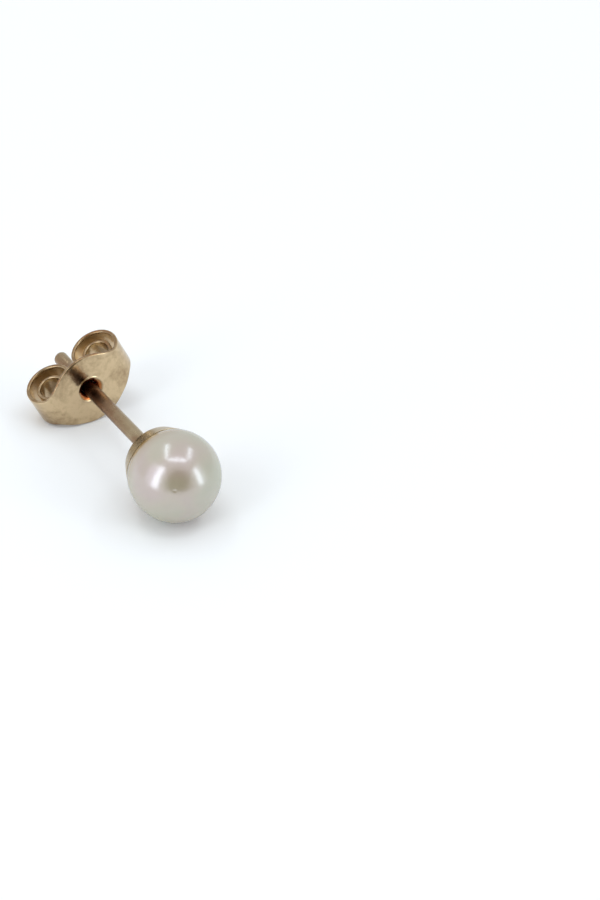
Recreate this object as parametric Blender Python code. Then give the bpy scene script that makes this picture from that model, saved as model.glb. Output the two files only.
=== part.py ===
"""Pearl stud earring with a butterfly back, lying unworn on a flat surface.

The pieces are made in the worn frame: the pearl's centre is the origin, +Y runs along the
post away from the pearl, +X along the back's two wings and +Z across them. An empty then
turns and lifts them onto the surface, where the earring lies on the pearl, on the plate's
rim and on the corner of one scroll. In that frame +Z is up and the origin is the middle of
the bounding box, at its bottom.
"""

import math

import bmesh
import bpy
import numpy as np
from mathutils import Matrix

MM = 0.001

# Pearl, drilled from the back
PEARL_DIAMETER = 5.0 * MM
DRILL_RADIUS = 0.45 * MM
DRILL_BOTTOM = 0.2 * MM

# Cup soldered behind the pearl, with a peg glued in the drilled hole
CUP_CLEARANCE = 0.05 * MM
CUP_THICKNESS = 0.15 * MM
CUP_HALF_ANGLE = 47.0
PEG_RADIUS = 0.35 * MM
PEG_CLEARANCE = 0.2 * MM
SOLDER_FILLET = 0.35 * MM

# Ear post, measured from the pearl's centre
POST_DIAMETER = 0.8 * MM
POST_END = 12.9 * MM
POST_DOME = 0.28 * MM
GROOVE_FROM_END = 1.3 * MM
GROOVE_WIDTH = 0.5 * MM
GROOVE_DEPTH = 0.06 * MM

# Butterfly back, stamped from one sheet
BACK_PLACE = 9.17 * MM
SHEET = 0.2 * MM
PLATE_HALF_HEIGHT = 2.25 * MM
PLATE_ARC_RADIUS = 2.15 * MM
SHOULDER_ANGLE = 35.0
STRIP_HALF_WIDTH = 0.97 * MM
STRIP_FILLET = 0.15 * MM
HOLE_CLEARANCE = 0.05 * MM
FLARE_WIDTH = 0.33 * MM
FLARE_DEPTH = 0.26 * MM

# Scrolls that the two wings are curled into
SCROLL_CENTRE = 1.57 * MM
SCROLL_RADIUS = 1.4 * MM
SCROLL_GRIP = 0.05 * MM
POST_CHANNEL = 0.45 * MM
TURN_GAP = 0.3 * MM
LAST_TURN_CLOSES = 0.1 * MM
ROUND_TO = 250.0
CLOSED_AT = 430.0
SCROLL_TURN = 655.0

# Facets
PEARL_SIDES = 48
SETTING_SIDES = 32
ARC_FACETS = 13
SIDE_FACETS = 6
FLARE_RINGS = 4
SCROLL_FACET = 15.0

PEARL_RADIUS = PEARL_DIAMETER / 2
POST_RADIUS = POST_DIAMETER / 2
CUP_INSIDE = PEARL_RADIUS + CUP_CLEARANCE
CUP_OUTSIDE = CUP_INSIDE + CUP_THICKNESS
HOLE_RADIUS = POST_RADIUS + HOLE_CLEARANCE
FLARE_RADIUS = HOLE_RADIUS + FLARE_WIDTH

PEARL_LOOK = ("pearl_nacre", (0.83, 0.79, 0.72), 0.0, 0.18)
POST_LOOK = ("worn_gold_wire", (0.62, 0.48, 0.36), 1.0, 0.28)
BACK_LOOK = ("pale_gold_sheet", (0.75, 0.64, 0.45), 1.0, 0.25)


def clear_scene():
    """Remove the objects that a new file starts with."""
    for old in list(bpy.data.objects):
        bpy.data.objects.remove(old, do_unlink=True)


def make_material(look):
    """A Principled material with one colour, metallic value and roughness."""
    name, colour, metallic, roughness = look
    material = bpy.data.materials.new(name)
    material.use_nodes = True
    shader = material.node_tree.nodes["Principled BSDF"]
    shader.inputs["Base Color"].default_value = (*colour, 1.0)
    shader.inputs["Metallic"].default_value = metallic
    shader.inputs["Roughness"].default_value = roughness
    return material


def make_object(name, shape, look, carrier, place):
    """Turn a bmesh into an object that hangs on the carrier at the given place."""
    bmesh.ops.recalc_face_normals(shape, faces=shape.faces)
    if shape.calc_volume(signed=True) < 0.0:
        bmesh.ops.reverse_faces(shape, faces=shape.faces)
    mesh = bpy.data.meshes.new(name)
    shape.to_mesh(mesh)
    shape.free()
    mesh.shade_smooth()
    mesh.set_sharp_from_angle(angle=math.radians(40))
    mesh.materials.append(make_material(look))
    made = bpy.data.objects.new(name, mesh)
    made.location = place
    made.parent = carrier
    bpy.context.scene.collection.objects.link(made)
    return made


def turned(profile, sides):
    """A closed body turned round the Y axis from (radius, distance along Y) points."""
    shape = bmesh.new()
    corners = [shape.verts.new((radius, along, 0.0)) for radius, along in profile]
    edges = [shape.edges.new(pair) for pair in zip(corners, corners[1:])]
    bmesh.ops.spin(
        shape,
        geom=corners + edges,
        cent=(0.0, 0.0, 0.0),
        axis=(0.0, 1.0, 0.0),
        angle=math.tau,
        steps=sides,
        use_merge=True,
    )
    bmesh.ops.remove_doubles(shape, verts=shape.verts, dist=1e-7)
    return shape


def arc(radius, start, end, steps, centre=(0.0, 0.0)):
    """Profile points on a circle; the angles in degrees are measured from the +Y axis."""
    points = []
    for step in range(steps + 1):
        angle = math.radians(start + (end - start) * step / steps)
        across = centre[0] + radius * math.sin(angle)
        along = centre[1] + radius * math.cos(angle)
        points.append((across, along))
    return points


def pearl_profile():
    """The drilled hole, then the sphere from the hole's mouth round to the front."""
    mouth = math.degrees(math.asin(DRILL_RADIUS / PEARL_RADIUS))
    sphere = arc(PEARL_RADIUS, mouth, 180.0, 26)
    sphere[-1] = (0.0, -PEARL_RADIUS)
    return [(0.0, DRILL_BOTTOM), (DRILL_RADIUS, DRILL_BOTTOM)] + sphere


def setting_profile():
    """Peg, cup, solder fillet, post with its groove, and the rounded end."""
    peg_front = DRILL_BOTTOM + PEG_CLEARANCE
    peg_angle = math.degrees(math.asin(PEG_RADIUS / CUP_INSIDE))
    points = [(0.0, peg_front), (PEG_RADIUS, peg_front)]
    points += arc(CUP_INSIDE, peg_angle, CUP_HALF_ANGLE, 9)

    rim_radius = (CUP_INSIDE + CUP_OUTSIDE) / 2
    rim = arc(rim_radius, CUP_HALF_ANGLE, CUP_HALF_ANGLE, 1)[0]
    points += arc(CUP_THICKNESS / 2, CUP_HALF_ANGLE + 180.0, CUP_HALF_ANGLE, 4, rim)[1:-1]

    fillet_across = POST_RADIUS + SOLDER_FILLET
    fillet_reach = CUP_OUTSIDE + SOLDER_FILLET
    fillet_along = math.sqrt(fillet_reach**2 - fillet_across**2)
    fillet_angle = math.degrees(math.asin(fillet_across / fillet_reach))
    points += arc(CUP_OUTSIDE, CUP_HALF_ANGLE, fillet_angle, 7)
    fillet = arc(SOLDER_FILLET, fillet_angle - 180.0, -90.0, 4, (fillet_across, fillet_along))
    points += fillet[1:]

    groove = POST_END - GROOVE_FROM_END
    neck = POST_RADIUS - GROOVE_DEPTH
    points.append((POST_RADIUS, groove - GROOVE_WIDTH / 2))
    points.append((neck, groove - GROOVE_WIDTH / 4))
    points.append((neck, groove + GROOVE_WIDTH / 4))
    points.append((POST_RADIUS, groove + GROOVE_WIDTH / 2))

    dome_steps = 5
    for step in range(dome_steps):
        angle = math.radians(90.0 * step / dome_steps)
        along = POST_END - POST_DOME * (1.0 - math.sin(angle))
        points.append((POST_RADIUS * math.cos(angle), along))
    points.append((0.0, POST_END))
    return points


def half_width(reach):
    """Half the sheet's width at a distance from the hole, measured along the flat sheet."""
    reach = abs(reach)
    centre = PLATE_HALF_HEIGHT - PLATE_ARC_RADIUS
    slope = math.radians(SHOULDER_ANGLE)
    tangent = PLATE_ARC_RADIUS * math.sin(slope)
    if reach <= tangent:
        return centre + math.sqrt(PLATE_ARC_RADIUS**2 - reach**2)
    shoulder = centre + PLATE_ARC_RADIUS * math.cos(slope)
    excess = shoulder - (reach - tangent) * math.tan(slope) - STRIP_HALF_WIDTH
    return STRIP_HALF_WIDTH + (excess + math.hypot(excess, STRIP_FILLET)) / 2


def plate_edge():
    """Points round the flat plate, anticlockwise from the lower end of its +X side."""
    corner = half_width(SCROLL_CENTRE)
    side = [
        (SCROLL_CENTRE, corner * (2.0 * step / SIDE_FACETS - 1.0))
        for step in range(SIDE_FACETS)
    ]
    top = []
    for step in range(ARC_FACETS):
        across = SCROLL_CENTRE * math.cos(math.pi * step / ARC_FACETS)
        top.append((across, half_width(across)))
    half = side + top
    return half + [(-across, -up) for across, up in half]


def coil_radius(angle, up):
    """Radius of a scroll's outer face after turning by angle degrees from the plate.

    The first turn is round. Where it passes the post, a channel is pressed into it.
    """
    closing = min(max((angle - ROUND_TO) / (CLOSED_AT - ROUND_TO), 0.0), 1.0)
    last = max((angle - CLOSED_AT) / (SCROLL_TURN - CLOSED_AT), 0.0)
    radius = SCROLL_RADIUS - (SHEET + TURN_GAP) * closing - LAST_TURN_CLOSES * last
    beside_post = -math.sin(math.radians(angle))
    if beside_post > 0.0:
        room = (SCROLL_CENTRE - POST_RADIUS - SCROLL_GRIP) / beside_post
        pressed = max(radius - room, 0.0)
        radius -= pressed * math.exp(-((up / POST_CHANNEL) ** 2))
    return radius


def flare_depth(distance):
    """How far the sheet round the hole is pushed back, by the distance from the axis."""
    share = min(max((FLARE_RADIUS - distance) / FLARE_WIDTH, 0.0), 1.0)
    return FLARE_DEPTH * share * share


def grow(shape, edges, places):
    """Extrude a row of edges and put each new vertex at the place of its number."""
    number = shape.verts.layers.int["number"]
    grown = bmesh.ops.extrude_edge_only(shape, edges=edges)["geom"]
    new_verts = {item for item in grown if isinstance(item, bmesh.types.BMVert)}
    for vert in new_verts:
        vert.co = places[vert[number]]
    linked = {edge for vert in new_verts for edge in vert.link_edges}
    return [edge for edge in linked if new_verts.issuperset(edge.verts)]


def back_sheet():
    """The stamped sheet laid flat in X and Z, from the rim of its hole outwards.

    Along a wing the flat X holds the distance along the sheet, so that one function can
    bend every point afterwards.
    """
    shape = bmesh.new()
    number = shape.verts.layers.int.new("number")
    outline = plate_edge()
    rim = []
    for place, (across, up) in enumerate(outline):
        share = HOLE_RADIUS / math.hypot(across, up)
        vert = shape.verts.new((across * share, 0.0, up * share))
        vert[number] = place
        rim.append(vert)
    edges = [shape.edges.new((rim[i - 1], rim[i])) for i in range(len(rim))]

    for step in range(1, FLARE_RINGS + 1):
        radius = HOLE_RADIUS + FLARE_WIDTH * step / FLARE_RINGS
        shares = [radius / math.hypot(x, z) for x, z in outline]
        places = [(x * share, 0.0, z * share) for (x, z), share in zip(outline, shares)]
        edges = grow(shape, edges, places)
    shares = [(1.0 + FLARE_RADIUS / math.hypot(x, z)) / 2 for x, z in outline]
    places = [(x * share, 0.0, z * share) for (x, z), share in zip(outline, shares)]
    edges = grow(shape, edges, places)
    edges = grow(shape, edges, [(x, 0.0, z) for x, z in outline])

    steps = math.ceil(SCROLL_TURN / SCROLL_FACET)
    almost = SCROLL_CENTRE * 0.999
    for side in (1, -1):
        row = [edge for edge in edges if all(v.co.x * side > almost for v in edge.verts)]
        for step in range(1, steps + 1):
            turned_by = math.radians(SCROLL_TURN * step / steps)
            reach = SCROLL_CENTRE + SCROLL_RADIUS * turned_by
            share = half_width(reach) / half_width(SCROLL_CENTRE)
            places = [(side * reach, 0.0, z * share) for x, z in outline]
            row = grow(shape, row, places)
    return shape


def bend(place):
    """Move a point of the flat sheet to its place on the finished back."""
    x, depth, z = place
    side = math.copysign(1.0, x)
    reach = abs(x) - SCROLL_CENTRE
    if reach <= 0.0:
        return x, depth + flare_depth(math.hypot(x, z)), z
    angle = reach / SCROLL_RADIUS
    radius = coil_radius(math.degrees(angle), z) - depth
    across = SCROLL_CENTRE + radius * math.sin(angle)
    return side * across, SCROLL_RADIUS - radius * math.cos(angle), z


def butterfly_back():
    """The flat sheet, thickened by extrusion and then bent into plate and scrolls."""
    shape = back_sheet()
    front = list(shape.faces)
    grown = bmesh.ops.extrude_face_region(shape, geom=front)["geom"]
    for item in grown:
        if isinstance(item, bmesh.types.BMVert):
            item.co.y += SHEET
    for vert in shape.verts:
        vert.co = bend(vert.co)
    return shape


def world_points(made, back_place=0.0):
    """The mesh's vertices in the worn frame, one row each."""
    points = np.array([vert.co[:] for vert in made.data.vertices])
    return points + np.array((0.0, back_place, 0.0))


def turn_matrix(roll, pitch):
    """Roll about the post, then pitch about X, both in degrees."""
    rolled = Matrix.Rotation(math.radians(-roll), 3, "Y")
    return Matrix.Rotation(math.radians(pitch), 3, "X") @ rolled


def lowest(points, turn):
    """The lowest height of the points after the turn."""
    return float((points @ np.array(turn)[2]).min())


def root_of(function, low, high):
    """Where an increasing function crosses zero, by halving the range."""
    for _ in range(40):
        middle = (low + high) / 2
        if function(middle) > 0.0:
            high = middle
        else:
            low = middle
    return (low + high) / 2


def resting_turn(pearl, plate, scrolls):
    """Roll and pitch at which pearl, plate rim and one scroll all touch the surface."""

    def level_pitch(roll):
        def lift(pitch):
            turn = turn_matrix(roll, pitch)
            return lowest(plate, turn) - lowest(pearl, turn)

        return root_of(lift, -25.0, 25.0)

    def scroll_drop(roll):
        turn = turn_matrix(roll, level_pitch(roll))
        return lowest(plate, turn) - lowest(scrolls, turn)

    roll = root_of(scroll_drop, 0.0, 60.0)
    return turn_matrix(roll, level_pitch(roll))


def lay_down(carrier, pearl, setting, back):
    """Turn the carrier to the resting pose and put the origin under the middle."""
    back_points = world_points(back, BACK_PLACE)
    on_plate = np.abs(back_points[:, 0]) <= SCROLL_CENTRE
    on_plate &= back_points[:, 1] <= BACK_PLACE + SHEET * 1.01
    turn = resting_turn(world_points(pearl), back_points[on_plate], back_points[~on_plate])
    everything = np.vstack([world_points(pearl), world_points(setting), back_points])
    turned_points = everything @ np.array(turn).T
    low = turned_points.min(axis=0)
    high = turned_points.max(axis=0)
    middle = (low + high) / 2
    carrier.matrix_world = Matrix.Translation((-middle[0], -middle[1], -low[2])) @ turn.to_4x4()


def main():
    clear_scene()
    carrier = bpy.data.objects.new("resting_pose", None)
    bpy.context.scene.collection.objects.link(carrier)
    centre = (0.0, 0.0, 0.0)
    pearl = make_object("pearl", turned(pearl_profile(), PEARL_SIDES), PEARL_LOOK, carrier, centre)
    setting = make_object(
        "cup_and_post", turned(setting_profile(), SETTING_SIDES), POST_LOOK, carrier, centre
    )
    hole = (0.0, BACK_PLACE, 0.0)
    back = make_object("butterfly_back", butterfly_back(), BACK_LOOK, carrier, hole)
    lay_down(carrier, pearl, setting, back)


main()
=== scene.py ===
import math

import bmesh
import bpy
from mathutils import Matrix, Vector, noise


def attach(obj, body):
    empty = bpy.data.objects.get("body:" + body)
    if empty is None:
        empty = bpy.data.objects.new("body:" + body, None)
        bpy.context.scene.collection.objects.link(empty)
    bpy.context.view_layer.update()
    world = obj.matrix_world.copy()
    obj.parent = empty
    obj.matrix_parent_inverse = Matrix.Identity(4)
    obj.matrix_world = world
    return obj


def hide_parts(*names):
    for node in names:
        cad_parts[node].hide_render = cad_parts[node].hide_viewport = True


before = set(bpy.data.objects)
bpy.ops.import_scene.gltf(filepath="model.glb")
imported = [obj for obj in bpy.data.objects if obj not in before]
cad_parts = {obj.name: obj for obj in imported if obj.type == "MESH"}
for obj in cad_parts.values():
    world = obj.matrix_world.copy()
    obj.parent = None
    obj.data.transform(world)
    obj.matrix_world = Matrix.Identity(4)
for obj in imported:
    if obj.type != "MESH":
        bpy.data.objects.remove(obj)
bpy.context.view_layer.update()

MM = 0.001
MERGE_DISTANCE = 1e-7
SHARP_FOLD = 45.0

# How the earring lies
ROLL = 26.649
PITCH = -1.582
PEARL_PLACE = Vector((0.0, -5.198, 2.4957)) * MM
LYING = (
    Matrix.Translation(PEARL_PLACE)
    @ Matrix.Rotation(math.radians(PITCH), 4, "X")
    @ Matrix.Rotation(math.radians(-ROLL), 4, "Y")
)
# Pieces are made as worn: origin in the pearl's centre, +Y along the post, +X along the wings
TO_WORN_FRAME = LYING.to_3x3().inverted()

# Camera, in the same frame as the floor
CAMERA_PLACE = Vector((-49.1263, -86.0253, 76.6493)) * MM
CAMERA_RIGHT = Vector((0.840528, -0.538594, 0.058552))
CAMERA_UP = Vector((0.288167, 0.535979, 0.793528))
CAMERA_BACK = Vector((-0.458772, -0.65011, 0.605711))
FOCAL_PIXELS = 2287.2
PICTURE_HEIGHT = 900.0
SENSOR_HEIGHT = 24.0
NEAREST_SEEN = 0.002
FARTHEST_SEEN = 20.0

# Pearl
PEARL_RADIUS = 2.492 * MM
PEARL_SEGMENTS = 240
PEARL_RINGS = 180
# The pit's place on the pearl's disc as the camera sees it, where the disc's radius is 1
PIT_PLACE = (0.06, -0.3)
PIT_RADIUS = 0.06 * MM
PIT_DEPTH = 0.02 * MM
FLAT_SIDE = Vector((-0.75, 0.35, -0.55)).normalized()
FLAT_FROM = 0.55
FLAT_DEPTH = 0.12 * MM
UNEVEN_SCALE = 1.7
UNEVEN_START = Vector((3.0, 1.0, 7.0))
UNEVEN_DEPTH = 0.012 * MM
FINE_SCALE = 5.0
FINE_DEPTH = 0.003 * MM
# Degrees from the post's axis where the nacre starts to be painted warmer, and over how many: a
# painted warm bounce of the gold cup's light, with glue showing through
WARM_FROM = 88.0
WARM_OVER = 28.0

# Cup, by degrees from the post's axis
CUP_INSIDE = 2.495 * MM
CUP_THICKNESS = 0.2 * MM
CUP_HALF_ANGLE = 58.0
CUP_STEPS = 16
# The side is a cone that leaves the pearl at COLLAR_START and meets the base at RIM_CREST
COLLAR_START = 65.5
RIM_CREST = 37.5
RIM_CORNER = 1.6
RIM_END = 29.0
RIM_STEPS = 30
SOLDER_FILLET = 0.35 * MM
FILLET_STEPS = 8

# Post
POST_RADIUS = 0.4 * MM
POST_END = 12.9 * MM
POST_DOME = 0.28 * MM
DOME_STEPS = 12
DOME_FULLNESS = 0.8
GROOVE_PLACE = 11.6 * MM
GROOVE_WIDTH = 0.5 * MM
GROOVE_DEPTH = 0.06 * MM
GROOVE_STEPS = 8
GROOVE_FULLNESS = 0.6
SHAFT_START = 3.1 * MM
SHAFT_STEPS = 60
TURNING_STEPS = 96
DENT_SCALE = 900.0
DENT_DEPTH = 0.006 * MM
# Millimetres along the post from the pearl's centre, and how dark it is there: towards the back
# the post darkens as a painted reflection of the shaded plate, over tarnish
POST_TARNISH_AND_REFLECTION = [
    (1.85, 0.0),
    (2.3, 0.27),
    (3.1, 0.4),
    (4.2, 0.22),
    (5.5, 0.36),
    (6.6, 0.5),
    (7.7, 0.68),
    (8.3, 0.95),
    (9.0, 1.0),
    (9.5, 0.8),
    (10.6, 0.6),
    (11.6, 0.42),
    (12.9, 0.36),
]
# Painted shade: how much lighter the post is painted on its side towards the camera's upper
# right, and darker on the other
SIDE_SHADE = 0.14

# Butterfly back: plate and wings of the flat sheet
BACK_PLACE = 9.17 * MM
SHEET = 0.2 * MM
SHEARED_EDGE = 0.07 * MM
SHEARED_ANGLE = 60.0
SHEARED_SEGMENTS = 3
LEVEL_WITHIN = 0.001 * MM
PLATE_HALF_HEIGHT = 2.245 * MM
PLATE_ARC_RADIUS = 2.145 * MM
PLATE_RINGS = 4
SHOULDER_ANGLE = 35.0
SIDE_POINTS = 12
TOP_POINTS = 30
STRIP_HALF_WIDTH = 0.965 * MM
STRIP_FILLET = 0.15 * MM
STRIP_TAPER = 0.24 * MM
TAPER_FROM = 250.0
TAPER_TO = 430.0

# Hole with its flare, which ends in a raised lip
HOLE_RADIUS = 0.404 * MM
# The first ring of points leaves room for the rounded edge of the rim
FIRST_RING = HOLE_RADIUS + 1.3 * SHEARED_EDGE
FLARE_WIDTH = 0.37 * MM
FLARE_DEPTH = 0.26 * MM
FLARE_RINGS = 20
LIP_HEIGHT = 0.035 * MM
LIP_WIDTH = 0.055 * MM
LIP_REACH = 0.14 * MM

# Scrolls. Angles are degrees turned from the plate, and a wing starts at WING_ROOT
SCROLL_CENTRE = 1.57 * MM
WING_ROOT = 0.999 * SCROLL_CENTRE
SCROLL_RADIUS = 1.395 * MM
SCROLL_GRIP = 0.05 * MM
POST_CHANNEL = 0.45 * MM
TURN_GAP = 0.3 * MM
LAST_TURN_CLOSES = 0.1 * MM
ROUND_TO = 250.0
CLOSED_AT = 430.0
SCROLL_TURN = 655.0
TURN_STEP = 5.0

# How dark the sheet is painted, by millimetres from the hole and by millimetres along the
# wings: in the hole's flare a painted shade and reflection of the post, on the wings simply
# darker
HOLE_SHADE = [(0.0, 1.0), (0.16, 0.9), (0.27, 0.68), (0.33, 0.25), (0.4, 0.1)]
# The sheet goes darker along the curled wings
WING_DARKENING = [(1.5, 0.0), (2.1, 0.24)]
# Painted shade along the cut edges, which dims their rounded rims, with places as shares of the
# sheet's half width
EDGE_SHADE = 0.54
EDGE_FROM = 0.95
EDGE_FADE_FROM = 0.9
EDGE_OVER = 0.05
# How much painted light the sheet's two faces get inside the curls, by degrees turned
BACK_FACE_INSIDE = [(40.0, 0.0), (130.0, 0.9), (380.0, 0.9), (450.0, 0.25)]
FRONT_FACE_INSIDE = [(330.0, 0.0), (400.0, 0.9)]
# Where in the sheet's thickness the back face takes over from the front
FACE_CHANGES = [(0.3, 0.0), (0.7, 1.0)]


# Helpers

def clamped(value):
    """A value kept between 0 and 1."""
    return min(max(value, 0.0), 1.0)


def between(value, points):
    """A value read from a short list of (place, value) pairs."""
    for (low, first), (high, second) in zip(points, points[1:]):
        if value <= high:
            return first + (second - first) * max((value - low) / (high - low), 0.0)
    return points[-1][1]


def on_disc(across, up):
    """The direction from the pearl's centre to a place on its disc."""
    towards = math.sqrt(1.0 - across**2 - up**2)
    return CAMERA_RIGHT * across + CAMERA_UP * up + CAMERA_BACK * towards


def show(thing):
    """Put an object in the scene."""
    bpy.context.scene.collection.objects.link(thing)


def finish_piece(name, shape, material, body, node):
    """Put a piece made in the worn frame where the earring lies, and dress it."""
    bmesh.ops.remove_doubles(shape, verts=shape.verts, dist=MERGE_DISTANCE)
    bmesh.ops.recalc_face_normals(shape, faces=shape.faces)
    if shape.calc_volume(signed=True) < 0.0:
        bmesh.ops.reverse_faces(shape, faces=shape.faces)
    bmesh.ops.transform(shape, matrix=LYING, verts=shape.verts)
    mesh = bpy.data.meshes.new(name)
    shape.to_mesh(mesh)
    shape.free()
    mesh.shade_smooth()
    mesh.set_sharp_from_angle(angle=math.radians(SHARP_FOLD))
    mesh.materials.append(material)
    piece = bpy.data.objects.new(name, mesh)
    show(piece)
    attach(piece, body)
    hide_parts(node)


# Pearl

def grown_pearl():
    """A cultured pearl: nearly round, a little flatter on one side, faintly uneven."""
    shape = bmesh.new()
    bmesh.ops.create_uvsphere(
        shape,
        u_segments=PEARL_SEGMENTS,
        v_segments=PEARL_RINGS,
        radius=PEARL_RADIUS,
    )
    bmesh.ops.rotate(
        shape,
        verts=shape.verts,
        cent=(0.0, 0.0, 0.0),
        matrix=Matrix.Rotation(math.radians(-90.0), 3, "X"),
    )
    # Painted light: the nacre towards the cup is painted warmer for the gold cup's bounced
    # light, with glue showing through
    cup_bounce_and_glue = shape.verts.layers.float.new("cup_bounce_and_glue")
    pit_place = TO_WORN_FRAME @ on_disc(*PIT_PLACE)
    for vert in shape.verts:
        out = vert.co.normalized()
        from_post = math.degrees(math.acos(max(-1.0, min(1.0, out.y))))
        warm = clamped((WARM_FROM - from_post) / WARM_OVER)
        vert[cup_bounce_and_glue] = warm * warm * (3.0 - 2.0 * warm)
        from_pit = (out - pit_place).length * PEARL_RADIUS
        dip = PIT_DEPTH * math.exp(-((from_pit / PIT_RADIUS) ** 2))
        dip += FLAT_DEPTH * max(out.dot(FLAT_SIDE) - FLAT_FROM, 0.0)
        dip += UNEVEN_DEPTH * abs(noise.noise(out * UNEVEN_SCALE + UNEVEN_START))
        dip += FINE_DEPTH * abs(noise.noise(out * FINE_SCALE))
        vert.co = out * (PEARL_RADIUS - dip)
    return shape


# Cup and post

def on_circle(radius, angle, centre=(0.0, 0.0)):
    """A profile point (across, along), by degrees from the post's axis."""
    turn = math.radians(angle)
    return centre[0] + radius * math.sin(turn), centre[1] + radius * math.cos(turn)


def arc(radius, start, end, steps, centre=(0.0, 0.0)):
    """Profile points on a circle from one angle to another."""
    angles = [start + (end - start) * step / steps for step in range(steps + 1)]
    return [on_circle(radius, angle, centre) for angle in angles]


def rim_radius(angle):
    """Radius of the cup's outer face: a cone from the pearl, then a shoulder and the base."""
    above = RIM_CORNER * math.log1p(math.exp((angle - RIM_CREST) / RIM_CORNER))
    cone = PEARL_RADIUS / math.cos(math.radians(COLLAR_START - RIM_CREST - above))
    base = CUP_INSIDE + CUP_THICKNESS
    fall = max(RIM_CREST - angle, 0.0) / (RIM_CREST - RIM_END)
    return base + (cone - base) * (1.0 + math.cos(math.pi * fall)) / 2


def cup_profile():
    """The cup, burnished onto the pearl, with the solder fillet that leads to the post."""
    points = arc(CUP_INSIDE, 0.0, CUP_HALF_ANGLE, CUP_STEPS)
    for step in range(RIM_STEPS + 1):
        angle = CUP_HALF_ANGLE + (RIM_END - CUP_HALF_ANGLE) * step / RIM_STEPS
        points.append(on_circle(rim_radius(angle), angle))
    base = CUP_INSIDE + CUP_THICKNESS
    across = POST_RADIUS + SOLDER_FILLET
    reach = base + SOLDER_FILLET
    centre = (across, math.sqrt(reach**2 - across**2))
    angle = math.degrees(math.asin(across / reach))
    points += arc(base, RIM_END, angle, CUP_STEPS)[1:]
    return points + arc(SOLDER_FILLET, angle - 180.0, -90.0, FILLET_STEPS, centre)[1:]


def post_profile(start):
    """The wire post from the end of the fillet: shaft, groove and rounded end."""
    shaft = GROOVE_PLACE - GROOVE_WIDTH / 2 - start
    points = [(POST_RADIUS, start + shaft * n / SHAFT_STEPS) for n in range(1, SHAFT_STEPS + 1)]
    for step in range(1, GROOVE_STEPS):
        share = step / GROOVE_STEPS
        dip = GROOVE_DEPTH * math.sin(math.pi * share) ** GROOVE_FULLNESS
        points.append((POST_RADIUS - dip, GROOVE_PLACE + GROOVE_WIDTH * (share - 0.5)))
    for step in range(DOME_STEPS):
        turn = math.radians(90.0 * step / DOME_STEPS)
        along = POST_END - POST_DOME * (1.0 - math.sin(turn))
        points.append((POST_RADIUS * math.cos(turn) ** DOME_FULLNESS, along))
    return points + [(0.0, POST_END)]


def cup_and_post():
    """The soldered setting, turned round the post's axis."""
    shape = bmesh.new()
    profile = cup_profile()
    profile += post_profile(profile[-1][1])
    corners = [shape.verts.new((across, along, 0.0)) for across, along in profile]
    edges = [shape.edges.new(pair) for pair in zip(corners, corners[1:])]
    bmesh.ops.spin(
        shape,
        geom=corners + edges,
        cent=(0.0, 0.0, 0.0),
        axis=(0.0, 1.0, 0.0),
        angle=math.tau,
        steps=TURNING_STEPS,
        use_merge=True,
    )
    bmesh.ops.remove_doubles(shape, verts=shape.verts, dist=MERGE_DISTANCE)
    # Painted shade and tarnish on the wire: the painted reflection of the shaded plate and the
    # painted side shade, over tarnish
    shade_and_tarnish = shape.verts.layers.float.new("shade_and_tarnish")
    # Painted shade: the post is painted lighter on its side towards the camera's upper right
    # and darker on the other
    painted_lit_side = TO_WORN_FRAME @ (CAMERA_UP + CAMERA_RIGHT).normalized()
    for vert in shape.verts:
        vert[shade_and_tarnish] = between(vert.co.y / MM, POST_TARNISH_AND_REFLECTION)
        out = Vector((vert.co.x, 0.0, vert.co.z)).normalized()
        if vert.co.y > SHAFT_START:
            vert[shade_and_tarnish] -= SIDE_SHADE * out.dot(painted_lit_side)
        vert.co -= out * DENT_DEPTH * abs(noise.noise(vert.co * DENT_SCALE))
    return shape


# Butterfly back

def half_width(reach):
    """Half the sheet's width at a distance from the hole, measured along the flat sheet."""
    reach = abs(reach)
    centre = PLATE_HALF_HEIGHT - PLATE_ARC_RADIUS
    slope = math.radians(SHOULDER_ANGLE)
    tangent = PLATE_ARC_RADIUS * math.sin(slope)
    if reach <= tangent:
        return centre + math.sqrt(PLATE_ARC_RADIUS**2 - reach**2)
    shoulder = centre + PLATE_ARC_RADIUS * math.cos(slope)
    excess = shoulder - (reach - tangent) * math.tan(slope) - STRIP_HALF_WIDTH
    turn = math.degrees((reach - SCROLL_CENTRE) / SCROLL_RADIUS)
    taper = STRIP_TAPER * clamped((turn - TAPER_FROM) / (TAPER_TO - TAPER_FROM))
    return STRIP_HALF_WIDTH - taper + (excess + math.hypot(excess, STRIP_FILLET)) / 2


def plate_edge():
    """Points round the flat plate, anticlockwise from the lower end of its +X side."""
    corner = half_width(SCROLL_CENTRE)
    half = []
    for n in range(SIDE_POINTS):
        half.append((SCROLL_CENTRE, corner * (2 * n / SIDE_POINTS - 1.0)))
    for n in range(TOP_POINTS):
        across = SCROLL_CENTRE * math.cos(math.pi * n / TOP_POINTS)
        half.append((across, half_width(across)))
    return half + [(-across, -up) for across, up in half]


def coil_radius(angle, up):
    """Radius of a scroll's outer face after turning by angle degrees from the plate."""
    closing = clamped((angle - ROUND_TO) / (CLOSED_AT - ROUND_TO))
    last = max((angle - CLOSED_AT) / (SCROLL_TURN - CLOSED_AT), 0.0)
    radius = SCROLL_RADIUS - (SHEET + TURN_GAP) * closing - LAST_TURN_CLOSES * last
    beside_post = -math.sin(math.radians(angle))
    if beside_post > 0.0:
        room = (SCROLL_CENTRE - POST_RADIUS - SCROLL_GRIP) / beside_post
        pressed = max(radius - room, 0.0)
        radius -= pressed * math.exp(-((up / POST_CHANNEL) ** 2))
    return radius


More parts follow.
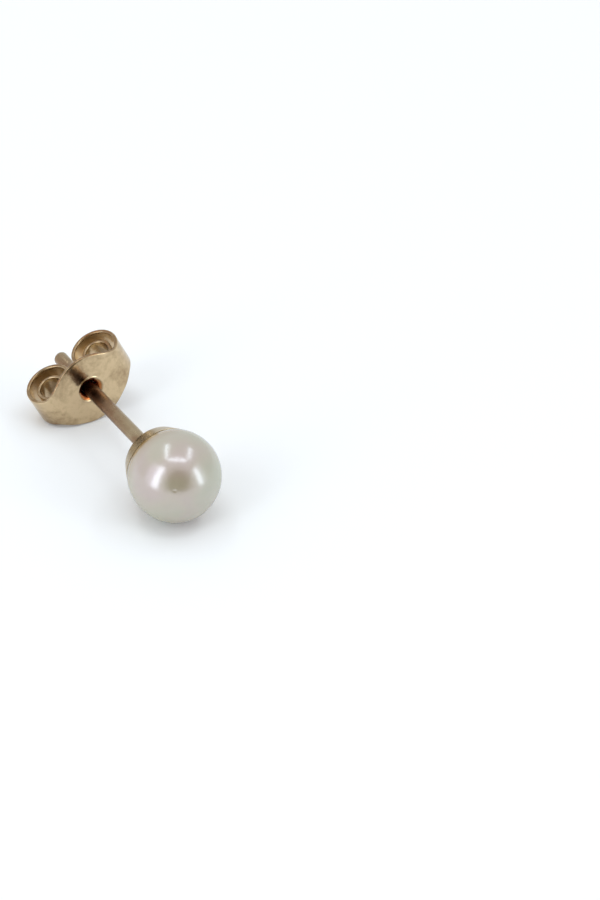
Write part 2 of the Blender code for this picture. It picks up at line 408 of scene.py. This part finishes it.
def flare_depth(distance):
    """How far the sheet round the hole is pushed back, by the distance from the axis."""
    inward = HOLE_RADIUS + FLARE_WIDTH - distance
    share = clamped(inward / FLARE_WIDTH)
    lip = LIP_HEIGHT * math.exp(-((inward / LIP_WIDTH) ** 2))
    return FLARE_DEPTH * share * share - lip


def bend(place):
    """Move a point of the flat sheet to its place on the finished back."""
    x, depth, z = place
    reach = abs(x) - SCROLL_CENTRE
    if reach <= 0.0:
        return x, depth + flare_depth(math.hypot(x, z)), z
    angle = reach / SCROLL_RADIUS
    radius = coil_radius(math.degrees(angle), z) - depth
    across = SCROLL_CENTRE + radius * math.sin(angle)
    return math.copysign(across, x), SCROLL_RADIUS - radius * math.cos(angle), z


def ring(outline, radius, part=0.0):
    """Flat places a part of the way from a circle round the hole to the outline."""
    shares = [part + (1.0 - part) * radius / math.hypot(x, z) for x, z in outline]
    return [(x * share, 0.0, z * share) for (x, z), share in zip(outline, shares)]


def grow(shape, edges, places):
    """Extrude a row of edges and put each new vertex at the place of its number."""
    number = shape.verts.layers.int["number"]
    grown = bmesh.ops.extrude_edge_only(shape, edges=edges)["geom"]
    new_verts = {item for item in grown if isinstance(item, bmesh.types.BMVert)}
    for vert in new_verts:
        vert.co = places[vert[number]]
    linked = {edge for vert in new_verts for edge in vert.link_edges}
    return [edge for edge in linked if new_verts.issuperset(edge.verts)]


def stamped_sheet():
    """The flat blank: plate and wings, from the rim of the hole outwards."""
    shape = bmesh.new()
    number = shape.verts.layers.int.new("number")
    outline = plate_edge()
    rim = [shape.verts.new(place) for place in ring(outline, HOLE_RADIUS)]
    for place, vert in enumerate(rim):
        vert[number] = place
    edges = [shape.edges.new((rim[i - 1], rim[i])) for i in range(len(rim))]
    flare_edge = HOLE_RADIUS + FLARE_WIDTH + LIP_REACH
    for step in range(FLARE_RINGS + 1):
        radius = FIRST_RING + (flare_edge - FIRST_RING) * step / FLARE_RINGS
        edges = grow(shape, edges, ring(outline, radius))
    for step in range(1, PLATE_RINGS + 1):
        edges = grow(shape, edges, ring(outline, flare_edge, step / PLATE_RINGS))
    steps = round(SCROLL_TURN / TURN_STEP)
    for side in (1, -1):
        row = [edge for edge in edges if all(v.co.x * side > WING_ROOT for v in edge.verts)]
        for step in range(1, steps + 1):
            reach = SCROLL_CENTRE + SCROLL_RADIUS * math.radians(SCROLL_TURN * step / steps)
            share = half_width(reach) / half_width(SCROLL_CENTRE)
            row = grow(shape, row, [(side * reach, 0.0, z * share) for x, z in outline])
    return shape


def sheet_shade(place):
    """How dark the flat sheet is painted: painted shade and reflection of the post in the hole,
    darker on its wings, and painted shade along its cut edges.
    """
    x, z = place.x, place.z
    hole = between((math.hypot(x, z) - HOLE_RADIUS) / MM, HOLE_SHADE)
    wing = between(abs(x) / MM, WING_DARKENING)
    edge = min((abs(z) / half_width(x) - EDGE_FROM) / EDGE_OVER, 1.0)
    return max(hole, wing, EDGE_SHADE * edge)


def curl_light_share(place):
    """How far a point is in a curl, on its inner face, where painted light makes the gold
    lighter.
    """
    x, depth, z = place
    turn = math.degrees(max(abs(x) - SCROLL_CENTRE, 0.0) / SCROLL_RADIUS)
    face = between(depth / SHEET, FACE_CHANGES)
    inside = face * between(turn, BACK_FACE_INSIDE)
    inside += (1.0 - face) * between(turn, FRONT_FACE_INSIDE)
    return inside * (1.0 - clamped((abs(z) / half_width(x) - EDGE_FADE_FROM) / EDGE_OVER))


def butterfly_back():
    """The blank, thickened, its sheared edges rounded, then curled and put on the post."""
    shape = stamped_sheet()
    grown = bmesh.ops.extrude_face_region(shape, geom=list(shape.faces))["geom"]
    backs = [item for item in grown if isinstance(item, bmesh.types.BMVert)]
    bmesh.ops.translate(shape, verts=backs, vec=(0.0, SHEET, 0.0))
    bmesh.ops.recalc_face_normals(shape, faces=shape.faces)
    sharp = math.radians(SHEARED_ANGLE)
    sheared = []
    for edge in shape.edges:
        rise = abs(edge.verts[0].co.y - edge.verts[1].co.y)
        if edge.calc_face_angle(0.0) > sharp and rise < LEVEL_WITHIN:
            sheared.append(edge)
    bmesh.ops.bevel(
        shape,
        geom=sheared,
        offset=SHEARED_EDGE,
        segments=SHEARED_SEGMENTS,
        profile=0.5,
        affect="EDGES",
        material=-1,
    )
    # Painted shade in the hole and along the cut edges, a darker sheet on the wings, and
    # painted light inside the curls
    shade_and_tarnish = shape.verts.layers.float.new("shade_and_tarnish")
    inside = shape.verts.layers.float.new("inside")
    for vert in shape.verts:
        vert[shade_and_tarnish] = sheet_shade(vert.co)
        vert[inside] = curl_light_share(vert.co)
        vert.co = Vector(bend(vert.co)) + Vector((0.0, BACK_PLACE, 0.0))
    return shape


# Finishes

NACRE_ORIENT = [
    (0.36, (0.43, 0.325, 0.25)),
    (0.5, (0.42, 0.35, 0.235)),
    (0.64, (0.39, 0.36, 0.225)),
]
# Painted warm bounce of the gold cup's light, with glue showing through
NACRE_CUP_BOUNCE_AND_GLUE = (0.33, 0.2, 0.065)
NACRE_SURFACE = {
    "Roughness": 0.24,
    "IOR": 3.05,
    "Specular Tint": (0.86, 0.95, 1.0, 1.0),
    "Thin Film Thickness": 420.0,
    "Thin Film IOR": 2.84,
    "Coat Weight": 0.3,
    "Coat Roughness": 0.09,
    "Coat IOR": 1.5,
}
# A pattern is a noise's scale and detail, and where given its roughness and distortion
ORIENT_PATTERN = (330.0, 2.0)
RIPPLE_PATTERN = (1500.0, 2.0)
# A bump is how high its pattern stands, and how strongly it shows
RIPPLE_BUMP = (0.004 * MM, 0.3)
# Gold from clean to its darkest under painted shade and tarnish, and the lighter gold of the
# painted light inside the curls
WIRE_SHADE_AND_TARNISH = [
    (0.0, (0.43, 0.335, 0.2)),
    (0.12, (0.42, 0.335, 0.215)),
    (0.22, (0.395, 0.307, 0.19)),
    (0.45, (0.285, 0.18, 0.105)),
    (0.75, (0.165, 0.083, 0.045)),
    (1.0, (0.045, 0.015, 0.007)),
]
SHEET_SHADE = [
    (0.0, (0.62, 0.475, 0.293)),
    (0.25, (0.46, 0.34, 0.203)),
    (0.5, (0.30, 0.195, 0.105)),
    (0.75, (0.36, 0.15, 0.05)),
    (1.0, (0.40, 0.10, 0.025)),
]
PAINTED_CURL_LIGHT = (0.86, 0.69, 0.46)
CURL_ROUGHER = 0.14
HAIRLINE_ROUGHER = 0.08
CLOUD_PATTERN = (800.0, 5.0, 0.6, 0.5)
SPOT_PATTERN = (4200.0, 3.0, 0.6)
HAIRLINE_PATTERN = (16000.0, 2.0)
HAIRLINE_STRETCH = (1.0, 6.0, 1.0)
DENT_PATTERN = (1700.0, 3.0)
DENT_BUMP = (0.02 * MM, 0.6)
# The part of each noise that counts, and what its ends stand for
CLOUD_RANGE = (0.3, 0.7)
SPOT_RANGE = (0.35, 0.75)
LESS_OR_MORE = (-0.5, 0.5)
SPOTS_SHARE = 0.5
SATIN_SPREAD = 0.25
WHITE_PAPER = {
    "Base Color": (0.96, 0.96, 0.96, 1.0),
    "Roughness": 0.9,
    "Specular IOR Level": 0.1,
}


def start_finish(name):
    """A new node material with its Principled shader."""
    material = bpy.data.materials.new(name)
    material.use_nodes = True
    return material, material.node_tree.nodes["Principled BSDF"]


def fill(node, values):
    """Set a node's inputs by their names."""
    for name, value in values.items():
        node.inputs[name].default_value = value


def pattern_place(tree, scale=(1.0, 1.0, 1.0), centre=(0.0, 0.0, 0.0)):
    """Object coordinates, centred and scaled for one pattern."""
    coordinates = tree.nodes.new("ShaderNodeTexCoord")
    mapping = tree.nodes.new("ShaderNodeMapping")
    mapping.vector_type = "TEXTURE"
    fill(mapping, {"Location": centre, "Scale": scale})
    tree.links.new(coordinates.outputs["Object"], mapping.inputs["Vector"])
    return mapping.outputs["Vector"]


def noise_field(tree, place, scale, detail, roughness=0.5, distortion=0.0):
    """A noise texture on a pattern place."""
    field = tree.nodes.new("ShaderNodeTexNoise")
    fill(field, {"Scale": scale, "Detail": detail})
    fill(field, {"Roughness": roughness, "Distortion": distortion})
    tree.links.new(place, field.inputs["Vector"])
    return field.outputs["Fac"]


def ramp(tree, value, stops):
    """A colour ramp with (position, colour) stops."""
    node = tree.nodes.new("ShaderNodeValToRGB")
    elements = node.color_ramp.elements
    while len(elements) < len(stops):
        elements.new(0.5)
    for element, (position, colour) in zip(elements, stops):
        element.position = position
        element.color = (*colour, 1.0)
    tree.links.new(value, node.inputs["Fac"])
    return node.outputs["Color"]


def scaled(tree, value, old_range, new_range):
    """A value moved from one range to another."""
    node = tree.nodes.new("ShaderNodeMapRange")
    fill(node, {"From Min": old_range[0], "From Max": old_range[1]})
    fill(node, {"To Min": new_range[0], "To Max": new_range[1]})
    tree.links.new(value, node.inputs["Value"])
    return node.outputs["Result"]


def mixed(tree, share, first, second):
    """A colour that changes by a share from the first, a socket, to the second, a colour."""
    node = tree.nodes.new("ShaderNodeMix")
    node.data_type = "RGBA"
    # This node's colours are its inputs 6 and 7 and its output 2
    tree.links.new(share, node.inputs[0])
    tree.links.new(first, node.inputs[6])
    node.inputs[7].default_value = (*second, 1.0)
    return node.outputs[2]


def bumped(tree, shader, height, distance, strength):
    """A bump on the shader's normal."""
    node = tree.nodes.new("ShaderNodeBump")
    fill(node, {"Strength": strength, "Distance": distance})
    tree.links.new(height, node.inputs["Height"])
    tree.links.new(node.outputs["Normal"], shader.inputs["Normal"])


def attribute_value(tree, name):
    """A value that the shape's own making left on its points."""
    node = tree.nodes.new("ShaderNodeAttribute")
    node.attribute_name = name
    return node.outputs["Fac"]


def sum_of(tree, first, second, factor):
    """first + second * factor, kept between 0 and 1."""
    node = tree.nodes.new("ShaderNodeMath")
    node.operation = "MULTIPLY_ADD"
    node.use_clamp = True
    tree.links.new(second, node.inputs[0])
    node.inputs[1].default_value = factor
    tree.links.new(first, node.inputs[2])
    return node.outputs["Value"]


def pearl_nacre():
    """Cream nacre: a satin mirror over a soft body, painted warmer where it meets the cup with
    a painted bounce of the gold cup's light and glue showing through.
    """
    material, shader = start_finish("pearl_nacre")
    tree = material.node_tree
    place = pattern_place(tree, centre=tuple(PEARL_PLACE))
    orient = ramp(tree, noise_field(tree, place, *ORIENT_PATTERN), NACRE_ORIENT)
    body = mixed(tree, attribute_value(tree, "cup_bounce_and_glue"), orient, NACRE_CUP_BOUNCE_AND_GLUE)
    tree.links.new(body, shader.inputs["Base Color"])
    fill(shader, NACRE_SURFACE)
    ripple = noise_field(tree, place, *RIPPLE_PATTERN)
    bumped(tree, shader, ripple, *RIPPLE_BUMP)
    return material


def worn_gold(name, stops, roughness, cloudiness):
    """Satin gold: darkened by its own attribute of painted shade and tarnish, lightened by
    painted light inside the curls, clouded, spotted, scratched and dented.
    """
    material, shader = start_finish(name)
    tree = material.node_tree
    place = pattern_place(tree)
    stretched = pattern_place(tree, HAIRLINE_STRETCH)
    cloud = noise_field(tree, place, *CLOUD_PATTERN)
    spots = noise_field(tree, place, *SPOT_PATTERN)
    hairlines = noise_field(tree, stretched, *HAIRLINE_PATTERN)
    dents = noise_field(tree, place, *DENT_PATTERN)
    shade_and_tarnish = attribute_value(tree, "shade_and_tarnish")
    inside = attribute_value(tree, "inside")

    clouds = scaled(tree, cloud, CLOUD_RANGE, LESS_OR_MORE)
    clouded = sum_of(tree, shade_and_tarnish, clouds, cloudiness)
    spotted = scaled(tree, spots, SPOT_RANGE, LESS_OR_MORE)
    worn = sum_of(tree, clouded, spotted, cloudiness * SPOTS_SHARE)
    # Painted light: the gold inside the curls is painted lighter
    metal = mixed(tree, inside, ramp(tree, worn, stops), PAINTED_CURL_LIGHT)
    tree.links.new(metal, shader.inputs["Base Color"])
    shader.inputs["Metallic"].default_value = 1.0

    smoother = roughness * (1.0 - SATIN_SPREAD)
    rougher = roughness * (1.0 + SATIN_SPREAD)
    satin = scaled(tree, cloud, CLOUD_RANGE, (smoother, rougher))
    scratched = sum_of(tree, satin, hairlines, HAIRLINE_ROUGHER)
    rough = sum_of(tree, scratched, inside, CURL_ROUGHER)
    tree.links.new(rough, shader.inputs["Roughness"])
    bumped(tree, shader, dents, *DENT_BUMP)
    return material


# Room: floor, camera and light tent

FLOOR_HALF_SIZE = 1.5
TENT_COLOUR = (0.97, 0.99, 1.02, 1.0)
TENT_BRIGHTNESS = 0.85
DARK_BRIGHTNESS = 0.02
# The tent's dark part: where its centre shows on the pearl's disc, and its edges in degrees
DARK_CENTRE = (0.1, -0.12)
DARK_INSIDE = 17.0
DARK_OUTSIDE = 40.0
LAMP_DISTANCE = 0.4
ENERGY_PER_RADIANCE = 4.0
DAYLIGHT = (0.85, 0.96, 1.0)
LAVENDER = (0.84, 0.84, 1.0)
PALE_BLUE = (0.88, 0.96, 1.0)
# Name, where its two ends show on the pearl's disc, width in degrees, radiance and colour
LAMPS = [
    ("left_window", (-0.21, 0.19), (-0.42, -0.38), 13.5, 2.1, DAYLIGHT),
    ("left_curtain", (-0.3, 0.22), (-0.47, -0.4), 30.0, 0.5, LAVENDER),
    ("right_window", (0.44, 0.15), (0.6, -0.3), 10.0, 2.1, DAYLIGHT),
    ("right_curtain", (0.45, 0.2), (0.6, -0.4), 24.0, 0.4, PALE_BLUE),
    ("front_tube", (-0.1, 0.335), (0.27, 0.335), 5.0, 3.5, DAYLIGHT),
    ("left_tube", (-0.135, 0.36), (-0.145, 0.66), 4.5, 3.2, DAYLIGHT),
    ("right_tube", (0.31, 0.37), (0.33, 0.6), 4.5, 3.0, DAYLIGHT),
]


def pale_floor():
    """A plain matt white surface under the earring."""
    shape = bmesh.new()
    bmesh.ops.create_grid(shape, x_segments=1, y_segments=1, size=FLOOR_HALF_SIZE)
    mesh = bpy.data.meshes.new("floor")
    shape.to_mesh(mesh)
    shape.free()
    material, shader = start_finish("matt_white_paper")
    fill(shader, WHITE_PAPER)
    mesh.materials.append(material)
    floor = bpy.data.objects.new("floor", mesh)
    show(floor)


def placed(name, data, place, right, up, back):
    """An object with its axes and place, put in the scene."""
    made = bpy.data.objects.new(name, data)
    axes = Matrix((right, up, back)).transposed().to_4x4()
    made.matrix_world = Matrix.Translation(place) @ axes
    show(made)
    return made


def camera():
    """The photograph's viewpoint, 120 mm from the pearl."""
    data = bpy.data.cameras.new("camera")
    data.sensor_fit = "VERTICAL"
    data.sensor_height = SENSOR_HEIGHT
    data.lens = FOCAL_PIXELS * SENSOR_HEIGHT / PICTURE_HEIGHT
    data.clip_start = NEAREST_SEEN
    data.clip_end = FARTHEST_SEEN
    made = placed("camera", data, CAMERA_PLACE, CAMERA_RIGHT, CAMERA_UP, CAMERA_BACK)
    bpy.context.scene.camera = made


def mirrored(across, up):
    """The direction that the pearl mirrors to the camera at a place on its disc."""
    normal = on_disc(across, up)
    return normal * 2.0 * normal.dot(CAMERA_BACK) - CAMERA_BACK


def strip_lamp(name, first, second, width, radiance, colour):
    """A flat lamp whose middle line runs between two of the pearl's reflections."""
    start = mirrored(*first) * LAMP_DISTANCE
    end = mirrored(*second) * LAMP_DISTANCE
    middle = (start + end) / 2
    along = (end - start).normalized()
    back = (middle - along * middle.dot(along)).normalized()
    data = bpy.data.lights.new(name, "AREA")
    data.shape = "RECTANGLE"
    data.size = (end - start).length
    data.size_y = 2.0 * LAMP_DISTANCE * math.tan(math.radians(width / 2))
    data.energy = radiance * ENERGY_PER_RADIANCE * data.size * data.size_y
    data.color = colour
    lamp = placed(name, data, PEARL_PLACE + middle, along, back.cross(along), back)
    lamp.visible_camera = False


def light_tent():
    """A white tent, dark behind the camera, with its lamps inside."""
    world = bpy.data.worlds.new("tent")
    bpy.context.scene.world = world
    world.use_nodes = True
    tree = world.node_tree
    wall = tree.nodes["Background"]
    coordinates = tree.nodes.new("ShaderNodeTexCoord")
    facing = tree.nodes.new("ShaderNodeVectorMath")
    facing.operation = "DOT_PRODUCT"
    facing.inputs[1].default_value = mirrored(*DARK_CENTRE)
    tree.links.new(coordinates.outputs["Generated"], facing.inputs[0])
    edge = tree.nodes.new("ShaderNodeMapRange")
    edge.interpolation_type = "SMOOTHSTEP"
    outside = math.cos(math.radians(DARK_OUTSIDE))
    inside = math.cos(math.radians(DARK_INSIDE))
    fill(edge, {"From Min": outside, "From Max": inside})
    fill(edge, {"To Min": TENT_BRIGHTNESS, "To Max": DARK_BRIGHTNESS})
    tree.links.new(facing.outputs["Value"], edge.inputs["Value"])
    tree.links.new(edge.outputs["Result"], wall.inputs["Strength"])
    fill(wall, {"Color": TENT_COLOUR})
    for lamp in LAMPS:
        strip_lamp(*lamp)


# The earring, then the room round it

nacre = pearl_nacre()
wire_gold = worn_gold("worn_gold_wire", WIRE_SHADE_AND_TARNISH, roughness=0.24, cloudiness=0.16)
sheet_gold = worn_gold("pale_gold_sheet", SHEET_SHADE, roughness=0.12, cloudiness=0.46)

finish_piece("grown_pearl", grown_pearl(), nacre, "earring", "pearl")
setting = cup_and_post()
finish_piece("soldered_cup_and_post", setting, wire_gold, "earring", "cup_and_post")
curled = butterfly_back()
finish_piece("curled_sheet_back", curled, sheet_gold, "back", "butterfly_back")

pale_floor()
camera()
light_tent()
bpy.context.scene.view_settings.view_transform = "Standard"
